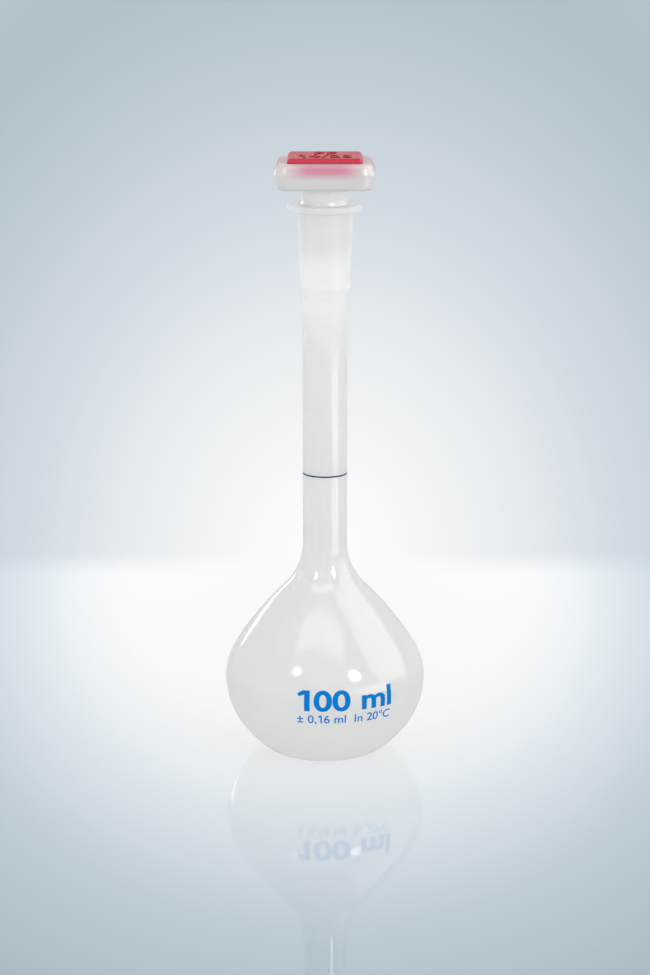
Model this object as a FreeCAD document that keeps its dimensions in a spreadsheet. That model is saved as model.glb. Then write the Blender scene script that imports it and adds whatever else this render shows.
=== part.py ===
import FreeCAD, Part
import math
import os
from typing import NamedTuple

import Sketcher

# Plastic volumetric flask of 100 ml: a pear-shaped bulb, a long neck with the capacity mark,
# a conical socket under a round collar, and a hollow stopper whose square head is closed by a cover.
# Millimetres, +Z up, the axis of the flask on Z and the standing ring of its base at Z = 0.

DRIVING_SIZES = {
    # Blow-moulded bulb and neck, outside surface
    "wall": "1.0",
    "base_hollow_radius": "12.6",
    "base_hollow_rise": "1.6",
    "base_ring_radius": "16.0",
    "base_corner_radius": "4.4",
    "lower_arc_radius": "36.2",
    "belly_arc_radius": "24.4",
    "bulb_radius": "30.7",
    "belly_height": "22.8",
    "upper_arc_radius": "18.4",
    "shoulder_arc_radius": "104.0",
    "flare_radius": "19.5",
    "neck_radius": "6.75",
    "neck_start_height": "65.4",
    # Conical socket, 14.5 mm wide at the mouth and 1 in 10 on the diameter, under a round collar
    "socket_foot_height": "142.5",
    "socket_foot_rise": "1.8",
    "socket_foot_radius": "7.5",
    "socket_top_radius": "8.5",
    "collar_radius": "11.2",
    "collar_underside": "166.9",
    "collar_top": "169.1",
    "mouth_radius": "7.25",
    "mouth_chamfer": "0.4",
    "socket_depth": "23.0",
    "taper_run": "20.0",
    "socket_shoulder_rise": "1.0",
    # Ink-filled ring that marks the capacity
    "mark_height": "87.0",
    "mark_width": "0.45",
    "mark_depth": "0.25",
    # Stopper plug, shank and inside hollow
    "plug_clearance": "0.1",
    "plug_end_height": "154.4",
    "plug_tip_height": "152.4",
    "plug_end_round": "0.6",
    "shank_radius": "6.85",
    "shank_foot_height": "170.1",
    "hollow_radius": "4.9",
    "hollow_end_radius": "4.3",
    "hollow_end_height": "156.2",
    # Stopper head
    "head_foot_height": "174.2",
    "head_rim_height": "178.8",
    "head_top_height": "182.0",
    "head_foot_half": "13.9",
    "head_rim_half": "15.0",
    "head_top_half": "13.9",
    "head_rim_corner": "4.4",
    "head_edge_round": "0.7",
    "recess_half": "9.0",
    "recess_corner": "1.5",
    "recess_depth": "5.0",
    # Cover that snaps into the head
    "cover_half": "11.2",
    "cover_corner": "1.2",
    "cover_height": "1.5",
    "cover_edge_round": "0.9",
    "skirt_clearance": "0.05",
    "skirt_wall": "1.3",
    "skirt_depth": "4.2",
}

START, END, CENTRE = 1, 2, 3
ORIGIN = (-1, 1)
HORIZONTAL_AXIS = -1
VERTICAL_AXIS = -2
FULL_TURN = 360
LEVEL_TOLERANCE = 0.001
MILLILITRE = 1000

doc = FreeCAD.newDocument("volumetric_flask")


def make_sheet():
    """Put every driving size into the spreadsheet, under its own alias."""
    sheet = doc.addObject("Spreadsheet::Sheet", "Sizes")
    for row, (alias, number) in enumerate(DRIVING_SIZES.items(), start=1):
        sheet.set(f"A{row}", alias)
        sheet.set(f"B{row}", number)
        sheet.setAlias(f"B{row}", alias)
    doc.recompute()
    return sheet


sizes = make_sheet()


class Measure(NamedTuple):
    """A size: its number now, and the expression that keeps it tied to the spreadsheet."""

    number: float
    expression: str

    def __add__(self, other):
        return Measure(self.number + other.number, f"({self.expression} + {other.expression})")

    def __sub__(self, other):
        return Measure(self.number - other.number, f"({self.expression} - {other.expression})")

    def __truediv__(self, other):
        return Measure(self.number / other.number, f"({self.expression} / {other.expression})")


def size(alias):
    """Give a driving size of the spreadsheet."""
    return Measure(float(sizes.get(alias)), f"Sizes.{alias}")


NOTHING = Measure(0.0, "0")
WALL = size("wall")


def make_body(label):
    """Start a sub-part; its label is also the name of its file."""
    body = doc.addObject("PartDesign::Body", label)
    body.Label = label
    body.Placement = FreeCAD.Placement()
    return body


def make_sketch(body, name, role, height=None):
    """Attach a sketch to one of the body's origin planes, raised to a height if one is given."""
    sketch = body.newObject("Sketcher::SketchObject", name)
    plane = next(item for item in body.Origin.OriginFeatures if item.Role == role)
    sketch.AttachmentSupport = [(plane, "")]
    sketch.MapMode = "FlatFace"
    if height is not None:
        sketch.setExpression("AttachmentOffset.Base.z", height.expression)
    return sketch


def line(sketch, start, end):
    """Draw a straight edge between two points."""
    segment = Part.LineSegment(FreeCAD.Vector(*start, 0), FreeCAD.Vector(*end, 0))
    return sketch.addGeometry(segment, False)


def arc(sketch, centre, radius, start_angle, end_angle):
    """Draw an arc that runs counter-clockwise between two angles in radians."""
    circle = Part.Circle(FreeCAD.Vector(*centre, 0), FreeCAD.Vector(0, 0, 1), radius)
    return sketch.addGeometry(Part.ArcOfCircle(circle, start_angle, end_angle), False)


def rule(sketch, kind, *elements):
    """Add a constraint that has no size."""
    sketch.addConstraint(Sketcher.Constraint(kind, *elements))


def bind(sketch, kind, elements, measure):
    """Add a constraint whose size follows the spreadsheet."""
    index = sketch.addConstraint(Sketcher.Constraint(kind, *elements, measure.number))
    name = f"size_{index}"
    sketch.renameConstraint(index, name)
    sketch.setExpression(f"Constraints.{name}", measure.expression)


def bind_point(sketch, element, point, across=None, up=None):
    """Hold a point at measured distances from the sketch's origin."""
    if across is not None:
        bind(sketch, "DistanceX", (*ORIGIN, element, point), across)
    if up is not None:
        bind(sketch, "DistanceY", (*ORIGIN, element, point), up)


def draw_run(sketch, corners):
    """Draw a run of straight edges through measured corners and hold every corner."""
    points = [(across.number, up.number) for across, up in corners]
    edges = [line(sketch, *pair) for pair in zip(points, points[1:])]
    for before, after in zip(edges, edges[1:]):
        rule(sketch, "Coincident", before, END, after, START)
    for edge, (across, up) in zip(edges, corners[1:]):
        bind_end(sketch, edge, END, across, up)
    return edges


def bind_end(sketch, edge, point, across, up):
    """Hold an end of an edge; one that lies on the axis stays on it."""
    if across.number == 0:
        rule(sketch, "PointOnObject", edge, point, VERTICAL_AXIS)
        bind_point(sketch, edge, point, up=up)
    else:
        bind_point(sketch, edge, point, across, up)


def circles_meet(first, first_radius, second, second_radius):
    """Give the point at two distances from two centres that lies left of the way between them."""
    span = math.dist(first, second)
    along = (span ** 2 + first_radius ** 2 - second_radius ** 2) / (2 * span)
    aside = math.sqrt(first_radius ** 2 - along ** 2)
    step_x = (second[0] - first[0]) / span
    step_y = (second[1] - first[1]) / span
    return first[0] + along * step_x - aside * step_y, first[1] + along * step_y + aside * step_x


def angle_to(start, end):
    """Give the angle of the way from one point to another."""
    return math.atan2(end[1] - start[1], end[0] - start[0])


def draw_vessel(sketch, inset):
    """Draw the bulb and neck, from the middle of the base to the foot of the socket.

    The outline is a chain of tangent arcs. The inside of the wall is the same chain about the
    same centres, moved in by the wall.
    """
    ring_radius = size("base_ring_radius")
    hollow_radius = size("base_hollow_radius")
    dome_top = size("base_hollow_rise") + inset
    bulb = size("bulb_radius") - inset
    neck_radius = size("neck_radius") - inset
    neck_start = size("neck_start_height")
    neck_end = size("socket_foot_height")
    belly_height = size("belly_height")
    corner_radius = size("base_corner_radius") - inset
    lower_radius = size("lower_arc_radius") - inset
    belly_radius = size("belly_arc_radius") - inset
    upper_radius = size("upper_arc_radius") - inset
    shoulder_radius = size("shoulder_arc_radius") - inset
    flare_radius = size("flare_radius") + inset

    rise = dome_top.number - inset.number
    dome_radius = (hollow_radius.number ** 2 + rise ** 2) / (2 * rise)
    dome_centre = (0, dome_top.number - dome_radius)
    hollow_edge = (hollow_radius.number, inset.number)
    ring_edge = (ring_radius.number, inset.number)
    corner_centre = (ring_radius.number, inset.number + corner_radius.number)
    belly_centre = (bulb.number - belly_radius.number, belly_height.number)
    upper_centre = (bulb.number - upper_radius.number, belly_height.number)
    flare_centre = (neck_radius.number + flare_radius.number, neck_start.number)
    lower_centre = circles_meet(
        corner_centre,
        lower_radius.number - corner_radius.number,
        belly_centre,
        lower_radius.number - belly_radius.number,
    )
    shoulder_centre = circles_meet(
        upper_centre,
        shoulder_radius.number - upper_radius.number,
        flare_centre,
        shoulder_radius.number + flare_radius.number,
    )
    to_corner = angle_to(lower_centre, corner_centre)
    to_belly = angle_to(lower_centre, belly_centre)
    to_upper = angle_to(shoulder_centre, upper_centre)
    to_flare = angle_to(shoulder_centre, flare_centre)

    dome = arc(sketch, dome_centre, dome_radius, angle_to(dome_centre, hollow_edge), math.pi / 2)
    ring = line(sketch, hollow_edge, ring_edge)
    corner = arc(sketch, corner_centre, corner_radius.number, -math.pi / 2, to_corner)
    lower = arc(sketch, lower_centre, lower_radius.number, to_corner, to_belly)
    belly = arc(sketch, belly_centre, belly_radius.number, to_belly, 0)
    upper = arc(sketch, upper_centre, upper_radius.number, 0, to_upper)
    shoulder = arc(sketch, shoulder_centre, shoulder_radius.number, to_upper, to_flare)
    flare = arc(sketch, flare_centre, flare_radius.number, math.pi, math.pi + to_flare)
    neck = line(sketch, (neck_radius.number, neck_start.number), (neck_radius.number, neck_end.number))

    rule(sketch, "PointOnObject", dome, CENTRE, VERTICAL_AXIS)
    rule(sketch, "PointOnObject", dome, END, VERTICAL_AXIS)
    rule(sketch, "Coincident", dome, START, ring, START)
    rule(sketch, "Horizontal", ring)
    rule(sketch, "Tangent", ring, END, corner, START)
    rule(sketch, "Tangent", corner, END, lower, START)
    rule(sketch, "Tangent", lower, END, belly, START)
    rule(sketch, "Horizontal", belly, CENTRE, belly, END)
    rule(sketch, "Tangent", belly, END, upper, START)
    rule(sketch, "Tangent", upper, END, shoulder, START)
    rule(sketch, "Tangent", shoulder, END, flare, END)
    rule(sketch, "Tangent", flare, START, neck, START)
    rule(sketch, "Vertical", neck)

    bind_point(sketch, dome, END, up=dome_top)
    bind_point(sketch, ring, START, across=hollow_radius)
    if inset is NOTHING:
        rule(sketch, "PointOnObject", ring, START, HORIZONTAL_AXIS)
    else:
        bind_point(sketch, ring, START, up=inset)
    bind_point(sketch, ring, END, across=ring_radius)
    bind_point(sketch, belly, END, across=bulb, up=belly_height)
    bind_point(sketch, neck, START, across=neck_radius, up=neck_start)
    bind(sketch, "Radius", (corner,), corner_radius)
    bind(sketch, "Radius", (lower,), lower_radius)
    bind(sketch, "Radius", (belly,), belly_radius)
    bind(sketch, "Radius", (upper,), upper_radius)
    bind(sketch, "Radius", (shoulder,), shoulder_radius)
    bind(sketch, "Radius", (flare,), flare_radius)
    return dome, neck


def socket_radius(height):
    """Give the inside radius of the conical socket at a height."""
    return size("mouth_radius") - (size("collar_top") - height) / size("taper_run")


def revolve(body, kind, name, sketch):
    """Turn a sketch a full turn about the axis of the flask, to add or to remove material."""
    feature = body.newObject(f"PartDesign::{kind}", name)
    feature.Profile = sketch
    feature.ReferenceAxis = (sketch, ["V_Axis"])
    feature.Angle = FULL_TURN
    return feature


def close_on_axis(sketch, top_edge, dome):
    """Close an outline with a straight edge along the axis."""
    top = sketch.getPoint(top_edge, END)
    bottom = sketch.getPoint(dome, END)
    axis_edge = line(sketch, (top.x, top.y), (bottom.x, bottom.y))
    rule(sketch, "Coincident", top_edge, END, axis_edge, START)
    rule(sketch, "Coincident", axis_edge, END, dome, END)


def draw_socket_outside(sketch, neck):
    """Draw the outside of the socket and its collar with a half-round rim."""
    foot_height = size("socket_foot_height")
    underside = size("collar_underside")
    top = size("collar_top")
    rim_radius = (top.number - underside.number) / 2
    rim_across = size("collar_radius").number - rim_radius
    run = draw_run(
        sketch,
        [
            (size("neck_radius"), foot_height),
            (size("socket_foot_radius"), foot_height + size("socket_foot_rise")),
            (size("socket_top_radius"), underside),
        ],
    )
    below_collar = (size("socket_top_radius").number, underside.number)
    under_collar = line(sketch, below_collar, (rim_across, underside.number))
    rim = arc(sketch, (rim_across, underside.number + rim_radius), rim_radius, -math.pi / 2, math.pi / 2)
    over_collar = line(sketch, (rim_across, top.number), (0, top.number))
    rule(sketch, "Coincident", neck, END, run[0], START)
    bind_point(sketch, neck, END, up=foot_height)
    rule(sketch, "Coincident", run[-1], END, under_collar, START)
    rule(sketch, "Horizontal", under_collar)
    rule(sketch, "Tangent", under_collar, END, rim, START)
    rule(sketch, "Tangent", rim, END, over_collar, START)
    rule(sketch, "Horizontal", over_collar)
    rule(sketch, "PointOnObject", over_collar, END, VERTICAL_AXIS)
    bind_point(sketch, over_collar, END, up=top)
    bind_point(sketch, rim, CENTRE, across=size("collar_radius") - (top - underside) / Measure(2, "2"))
    return over_collar


def draw_socket_inside(sketch, neck):
    """Draw the conical inside of the socket, its chamfered mouth, and the way out above it."""
    top = size("collar_top")
    chamfer = size("mouth_chamfer")
    foot = top - size("socket_depth")
    bore = size("neck_radius") - WALL
    chamfer_foot = top - chamfer
    run = draw_run(
        sketch,
        [
            (bore, foot - size("socket_shoulder_rise")),
            (socket_radius(foot), foot),
            (socket_radius(chamfer_foot), chamfer_foot),
            (size("mouth_radius") + chamfer, top),
            (NOTHING, top),
        ],
    )
    rule(sketch, "Coincident", neck, END, run[0], START)
    bind_point(sketch, neck, END, up=foot - size("socket_shoulder_rise"))
    return run[-1]


def draw_ring_section(sketch, outer, inner, low, high):
    """Draw the rectangular section of a ring about the axis."""
    corners = [(inner, low), (outer, low), (outer, high), (inner, high), (inner, low)]
    edges = draw_run(sketch, corners)
    rule(sketch, "Coincident", edges[-1], END, edges[0], START)


def mark_band():
    """Give the outer and inner radius and the lower and upper edge of the capacity mark."""
    half = size("mark_width") / Measure(2, "2")
    outer = size("neck_radius")
    return outer, outer - size("mark_depth"), size("mark_height") - half, size("mark_height") + half


def make_flask_body():
    """Make the one-piece vessel: bulb, neck, socket and collar, with its inside and the mark's groove."""
    body = make_body("flask_body")
    outside = make_sketch(body, "flask_outline", "XZ_Plane")
    dome, neck = draw_vessel(outside, NOTHING)
    close_on_axis(outside, draw_socket_outside(outside, neck), dome)
    solid = revolve(body, "Revolution", "flask_solid", outside)

    inside = make_sketch(body, "flask_inside", "XZ_Plane")
    dome, neck = draw_vessel(inside, WALL)
    close_on_axis(inside, draw_socket_inside(inside, neck), dome)
    hollowed = revolve(body, "Groove", "flask_cavity", inside)

    groove = make_sketch(body, "mark_groove_section", "XZ_Plane")
    draw_ring_section(groove, *mark_band())
    revolve(body, "Groove", "mark_groove", groove)
    return body, solid, hollowed


def make_capacity_mark():
    """Make the ring of ink that fills the groove on the neck."""
    body = make_body("capacity_mark")
    section = make_sketch(body, "mark_section", "XZ_Plane")
    draw_ring_section(section, *mark_band())
    revolve(body, "Revolution", "mark_ring", section)
    return body


def draw_rounded_square(sketch, half, corner):
    """Draw a square about the origin with rounded corners."""
    bend = corner.number
    straight = half.number - bend
    centres = [(straight, -straight), (straight, straight), (-straight, straight), (-straight, -straight)]
    corners = []
    for turn, centre in enumerate(centres):
        start_angle = (turn - 1) * math.pi / 2
        corners.append(arc(sketch, centre, bend, start_angle, start_angle + math.pi / 2))
    for turn, this_corner in enumerate(corners):
        next_corner = corners[(turn + 1) % len(corners)]
        leave = sketch.getPoint(this_corner, END)
        arrive = sketch.getPoint(next_corner, START)
        edge = line(sketch, (leave.x, leave.y), (arrive.x, arrive.y))
        rule(sketch, "Tangent", this_corner, END, edge, START)
        rule(sketch, "Tangent", edge, END, next_corner, START)
        rule(sketch, "Vertical" if turn % 2 == 0 else "Horizontal", edge)
    for this_corner in corners[1:]:
        rule(sketch, "Equal", corners[0], this_corner)
    rule(sketch, "Symmetric", corners[0], CENTRE, corners[2], CENTRE, *ORIGIN)
    bind(sketch, "Radius", (corners[0],), corner)
    bind_point(sketch, corners[1], START, across=half)
    bind_point(sketch, corners[1], END, up=half)


def pad(body, kind, name, sketch, depth, reverse=False):
    """Pull a sketch straight up, or down if reversed, to add or to remove material."""
    feature = body.newObject(f"PartDesign::{kind}", name)
    feature.Profile = sketch
    feature.Reversed = reverse
    feature.setExpression("Length", depth.expression)
    return feature


def edges_at(feature, height):
    """Name the edges of a feature that lie at one height."""
    names = []
    for number, edge in enumerate(feature.Shape.Edges, start=1):
        box = edge.BoundBox
        if abs(box.ZMin - height.number) + abs(box.ZMax - height.number) < LEVEL_TOLERANCE:
            names.append(f"Edge{number}")
    return names


def round_edges(body, name, feature, edges, radius):
    """Round named edges of a feature."""
    fillet = body.newObject("PartDesign::Fillet", name)
    fillet.Base = (feature, edges)
    fillet.setExpression("Radius", radius.expression)
    return fillet


def draw_closed_run(sketch, corners):
    """Draw straight edges round a closed outline that starts and ends on the axis."""
    edges = draw_run(sketch, [*corners, corners[0]])
    rule(sketch, "Coincident", edges[-1], END, edges[0], START)


def make_stopper_body():
    """Make the hollow stopper: square head with sloping faces, shank, and plug with a blunt tip."""
    body = make_body("stopper_body")
    rim_height = size("head_rim_height")
    rim = make_sketch(body, "head_rim_section", "XY_Plane", rim_height)
    draw_rounded_square(rim, size("head_rim_half"), size("head_rim_corner"))
    for level, downward in (("head_foot", True), ("head_top", False)):
        rise = size(f"{level}_height") - rim_height
        inward = size("head_rim_half") - size(f"{level}_half")
        depth = NOTHING - rise if downward else rise
        form = pad(body, "Pad", f"{level}_form", rim, depth, reverse=downward)
        form.setExpression("TaperAngle", f"-atan({inward.expression} / {depth.expression})")
    doc.recompute()
    levels = ("head_foot_height", "head_rim_height", "head_top_height")
    rounded = [name for level in levels for name in edges_at(form, size(level))]
    round_edges(body, "head_round", form, rounded, size("head_edge_round"))

    collar_top = size("collar_top")
    plug_end = size("plug_end_height")
    clearance = size("plug_clearance")
    recess_floor = size("head_top_height") - size("recess_depth")
    plug = make_sketch(body, "plug_outline", "XZ_Plane")
    draw_closed_run(
        plug,
        [
            (NOTHING, size("plug_tip_height")),
            (socket_radius(plug_end) - clearance, plug_end),
            (socket_radius(collar_top) - clearance, collar_top),
            (size("shank_radius"), size("shank_foot_height")),
            (size("shank_radius"), recess_floor),
            (NOTHING, recess_floor),
        ],
    )
    stem = revolve(body, "Revolution", "plug_form", plug)
    doc.recompute()
    round_edges(body, "plug_round", stem, edges_at(stem, plug_end), size("plug_end_round"))

    recess = make_sketch(body, "recess_section", "XY_Plane", size("head_top_height"))
    draw_rounded_square(recess, size("recess_half"), size("recess_corner"))
    pad(body, "Pocket", "recess", recess, size("recess_depth"))

    hollow = make_sketch(body, "hollow_outline", "XZ_Plane")
    draw_closed_run(
        hollow,
        [
            (NOTHING, size("hollow_end_height")),
            (size("hollow_end_radius"), size("hollow_end_height")),
            (size("hollow_radius"), recess_floor),
            (NOTHING, recess_floor),
        ],
    )
    revolve(body, "Groove", "plug_hollow", hollow)
    return body


def make_stopper_cover():
    """Make the cover: a square plate with a rounded edge, on a skirt that snaps into the head."""
    body = make_body("stopper_cover")
    seat = size("head_top_height")
    plate = make_sketch(body, "plate_section", "XY_Plane", seat)
    draw_rounded_square(plate, size("cover_half"), size("cover_corner"))
    plate_pad = pad(body, "Pad", "plate", plate, size("cover_height"))
    doc.recompute()
    top_edges = edges_at(plate_pad, seat + size("cover_height"))
    round_edges(body, "plate_round", plate_pad, top_edges, size("cover_edge_round"))

    skirt = make_sketch(body, "skirt_section", "XY_Plane", seat)
    outer_half = size("recess_half") - size("skirt_clearance")
    outer_corner = size("recess_corner") - size("skirt_clearance")
    draw_rounded_square(skirt, outer_half, outer_corner)
    draw_rounded_square(skirt, outer_half - size("skirt_wall"), outer_corner - size("skirt_wall"))
    pad(body, "Pad", "skirt", skirt, size("skirt_depth"), reverse=True)
    return body


def check_document(bodies):
    """Stop if any object failed to build or any sub-part is not one whole solid."""
    for item in doc.Objects:
        if "Invalid" in item.State or "Error" in item.State:
            raise RuntimeError(f"{item.Name} did not build: {item.State}")
    for body in bodies:
        shape = body.Shape
        if shape.isNull() or not shape.isValid() or len(shape.Solids) != 1:
            raise RuntimeError(f"{body.Label} is not one whole solid")


def capacity_to_mark(solid, hollowed):
    """Give the volume in millilitres that the flask holds up to the middle of its mark."""
    reach = 2 * size("bulb_radius").number
    corner = FreeCAD.Vector(-reach / 2, -reach / 2, 0)
    below_mark = Part.makeBox(reach, reach, size("mark_height").number, corner)
    return (solid.Shape.common(below_mark).Volume - hollowed.Shape.common(below_mark).Volume) / MILLILITRE


flask_body, flask_solid, flask_hollowed = make_flask_body()
sub_parts = [flask_body, make_capacity_mark(), make_stopper_body(), make_stopper_cover()]
doc.recompute()
check_document(sub_parts)
print(f"capacity to the mark: {capacity_to_mark(flask_solid, flask_hollowed):.2f} ml")

os.makedirs("parts", exist_ok=True)
for sub_part in sub_parts:
    print(f"{sub_part.Label}: {sub_part.Shape.Volume:.1f} mm3")
    sub_part.Shape.exportStep(f"parts/{sub_part.Label}.step")
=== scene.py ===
import logging
import math
from collections.abc import Sequence
from dataclasses import dataclass
from enum import Enum
from typing import ClassVar

import bmesh
import bpy
from bmesh.types import BMesh, BMVert
from bpy.types import Collection, Material, Node, NodeOutputs, NodeSocket, Object, World
from mathutils import Matrix, Quaternion, Vector


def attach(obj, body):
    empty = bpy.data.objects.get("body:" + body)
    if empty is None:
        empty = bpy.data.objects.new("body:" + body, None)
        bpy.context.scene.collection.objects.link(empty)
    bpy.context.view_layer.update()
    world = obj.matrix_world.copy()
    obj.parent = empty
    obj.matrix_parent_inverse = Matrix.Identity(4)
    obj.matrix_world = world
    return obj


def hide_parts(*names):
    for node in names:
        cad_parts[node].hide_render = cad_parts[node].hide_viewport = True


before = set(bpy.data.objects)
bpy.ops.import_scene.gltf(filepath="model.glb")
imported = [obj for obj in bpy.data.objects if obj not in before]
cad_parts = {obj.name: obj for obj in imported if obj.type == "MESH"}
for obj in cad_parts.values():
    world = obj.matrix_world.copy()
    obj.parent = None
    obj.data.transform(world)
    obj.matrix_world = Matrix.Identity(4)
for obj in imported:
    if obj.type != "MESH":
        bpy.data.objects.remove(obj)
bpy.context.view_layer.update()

LOG = logging.getLogger("flask_scene")
MM = 0.001
SHARP_ANGLE = math.radians(35)
NOISE_MIDDLE = (0.3, 0.7)

Point = tuple[float, float]
Colour = tuple[float, float, float]
Stop = tuple[float, Colour]
Ring = list[Vector]
Value = NodeSocket | float | tuple[float, ...]


class Body(Enum):
    """The moving bodies of the part."""

    FLASK = "flask"
    STOPPER = "stopper"


class Slot(Enum):
    """The material slots of the part."""

    FLASK_PLASTIC = "flask_plastic"
    MARK_INK = "mark_ink"
    STOPPER_PLASTIC = "stopper_plastic"
    COVER_PLASTIC = "cover_plastic"


class LampRole(Enum):
    """What a lamp is for: a shine that the surfaces mirror, or an even light on them."""

    SHINE = "shine"
    FILL = "fill"


class LampShape(Enum):
    """The outlines that a lamp's face can have."""

    RECTANGLE = "RECTANGLE"
    ELLIPSE = "ELLIPSE"


def from_screen(red: int, green: int, blue: int) -> Colour:
    """Turn a screen colour into a linear one.

    Args:
        red: red on the screen, from 0 to 255.
        green: green on the screen, from 0 to 255.
        blue: blue on the screen, from 0 to 255.

    Returns:
        The linear colour.
    """

    def linear(level: int) -> float:
        """Turn one screen level into a linear one."""
        share = level / 255
        return share / 12.92 if share <= 0.04045 else ((share + 0.055) / 1.055) ** 2.4

    return linear(red), linear(green), linear(blue)


def circles_meet(first: Point, first_radius: float, second: Point, second_radius: float) -> Point:
    """Find where two circles meet, on the left of the way from the first centre to the second.

    Args:
        first: centre of the first circle.
        first_radius: radius of the first circle.
        second: centre of the second circle.
        second_radius: radius of the second circle.

    Returns:
        The meeting point.
    """
    across, up = second[0] - first[0], second[1] - first[1]
    apart = math.hypot(across, up)
    along = (first_radius**2 - second_radius**2 + apart**2) / (2 * apart)
    aside = math.sqrt(first_radius**2 - along**2)
    return (
        first[0] + (along * across - aside * up) / apart,
        first[1] + (along * up + aside * across) / apart,
    )


def angle_to(start: Point, end: Point) -> float:
    """Give the direction from one point to another, in radians."""
    return math.atan2(end[1] - start[1], end[0] - start[0])


def arc_points(centre: Point, radius: float, start: float, end: float, step: float) -> list[Point]:
    """Sample an arc, both ends included.

    Args:
        centre: centre of the arc.
        radius: radius of the arc.
        start: angle at the start, in radians.
        end: angle at the end, in radians.
        step: longest distance between neighbours.

    Returns:
        The points from start to end.
    """
    count = max(2, math.ceil(abs(end - start) * radius / step))
    angles = (start + (end - start) * i / count for i in range(count + 1))
    return [(centre[0] + radius * math.cos(a), centre[1] + radius * math.sin(a)) for a in angles]


def rounded(corners: list[tuple[float, float, float]], steps: int = 6) -> list[Point]:
    """Round the corners of an open run of straight lines.

    Args:
        corners: across, up and rounding radius of each corner.
        steps: facets in each rounded corner.

    Returns:
        The points of the rounded run.
    """
    points: list[Point] = [corners[0][:2]]
    for before, here, after in zip(corners, corners[1:], corners[2:]):
        corner = Vector(here[:2])
        back = (Vector(before[:2]) - corner).normalized()
        ahead = (Vector(after[:2]) - corner).normalized()
        radius = here[2]
        if radius == 0:
            points.append(tuple(corner))
            continue
        half = back.angle(ahead) / 2
        centre = corner + (back + ahead).normalized() * (radius / math.sin(half))
        start = corner + back * (radius / math.tan(half)) - centre
        turn = math.copysign(math.pi - 2 * half, back.x * ahead.y - back.y * ahead.x)
        for i in range(steps + 1):
            points.append(tuple(centre + Matrix.Rotation(-turn * i / steps, 2) @ start))
    points.append(corners[-1][:2])
    return points


def round_ring(radius: float, height: float, angles: list[float]) -> Ring:
    """Place points on a circle about the axis."""
    return [Vector((radius * math.cos(a), radius * math.sin(a), height)) for a in angles]


def square_ring(half: float, corner: float, height: float, bend_steps: int, side_steps: int) -> Ring:
    """Place points on a square about the axis with rounded corners.

    Args:
        half: half of the width.
        corner: radius of the corners.
        height: height of the ring.
        bend_steps: facets in each corner.
        side_steps: pieces in each straight side.

    Returns:
        The points of the ring, anticlockwise from above.
    """
    ring: Ring = []
    straight = half - corner
    for quarter in range(4):
        turn = Matrix.Rotation(quarter * math.pi / 2, 3, "Z")
        for i in range(bend_steps):
            a = math.pi / 2 * i / bend_steps
            spot = Vector((straight + corner * math.cos(a), straight + corner * math.sin(a), height))
            ring.append(turn @ spot)
        for i in range(side_steps):
            across = straight * (1 - 2 * i / side_steps)
            ring.append(turn @ Vector((across, half, height)))
    return ring


def skin(name: str, rings: list[Ring | Vector]) -> Object:
    """Join rings of points, one after another, into a closed mesh.

    Args:
        name: name of the new object.
        rings: rings of equal length; the first and the last may be single points.

    Returns:
        The new object, linked to the scene.
    """
    mesh = bmesh.new()
    loops = []
    for ring in rings:
        spots = [ring] if isinstance(ring, Vector) else ring
        loops.append([mesh.verts.new(spot * MM) for spot in spots])
    closed = len(loops[0]) > 1
    pairs = list(zip(loops, loops[1:] + ([loops[0]] if closed else [])))
    for low, high in pairs[: len(loops) if closed else len(loops) - 1]:
        count = max(len(low), len(high))
        for i in range(count):
            j = (i + 1) % count
            if len(low) == 1:
                mesh.faces.new((low[0], high[j], high[i]))
            elif len(high) == 1:
                mesh.faces.new((low[i], low[j], high[0]))
            else:
                mesh.faces.new((low[i], low[j], high[j], high[i]))
    bmesh.ops.recalc_face_normals(mesh, faces=mesh.faces)
    return finish_mesh(name, mesh)


def finish_mesh(name: str, mesh: BMesh) -> Object:
    """Turn a working mesh into a smooth-shaded object of the scene.

    Args:
        name: name of the new object.
        mesh: the working mesh, which is used up.

    Returns:
        The new object.
    """
    data = bpy.data.meshes.new(name)
    mesh.to_mesh(data)
    mesh.free()
    data.shade_smooth()
    data.set_sharp_from_angle(angle=SHARP_ANGLE)
    made = bpy.data.objects.new(name, data)
    bpy.context.scene.collection.objects.link(made)
    return made


def lathe(name: str, section: list[Point], turns: int) -> Object:
    """Turn a section about the axis.

    Args:
        name: name of the new object.
        section: radius and height of each point, in millimetres.
        turns: facets round the axis.

    Returns:
        The new object.
    """
    angles = [2 * math.pi * i / turns for i in range(turns)]
    rings: list[Ring | Vector] = []
    for radius, height in section:
        on_axis = radius < 1e-6
        rings.append(Vector((0, 0, height)) if on_axis else round_ring(radius, height, angles))
    return skin(name, rings)


def letter_mesh(words: str, weight: float, spacing: float = 1.0) -> BMesh:
    """Make flat letters as a mesh whose capitals are about one unit high.

    Args:
        words: the letters.
        weight: how much the strokes are thickened.
        spacing: room for each letter, against the usual one.

    Returns:
        The letters in the XY plane, with their first line at the origin.
    """
    curve = bpy.data.curves.new("letters", "FONT")
    curve.body = words
    curve.offset = weight
    curve.align_x = "CENTER"
    curve.space_character = spacing
    curve.resolution_u = 6
    holder = bpy.data.objects.new("letters", curve)
    bpy.context.scene.collection.objects.link(holder)
    shapes = bpy.context.evaluated_depsgraph_get()
    flat = bpy.data.meshes.new_from_object(holder.evaluated_get(shapes))
    mesh = bmesh.new()
    mesh.from_mesh(flat)
    bpy.data.objects.remove(holder)
    bpy.data.curves.remove(curve)
    bpy.data.meshes.remove(flat)
    bmesh.ops.remove_doubles(mesh, verts=mesh.verts, dist=1e-5)
    flag_figure_one(mesh)
    return mesh


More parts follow.
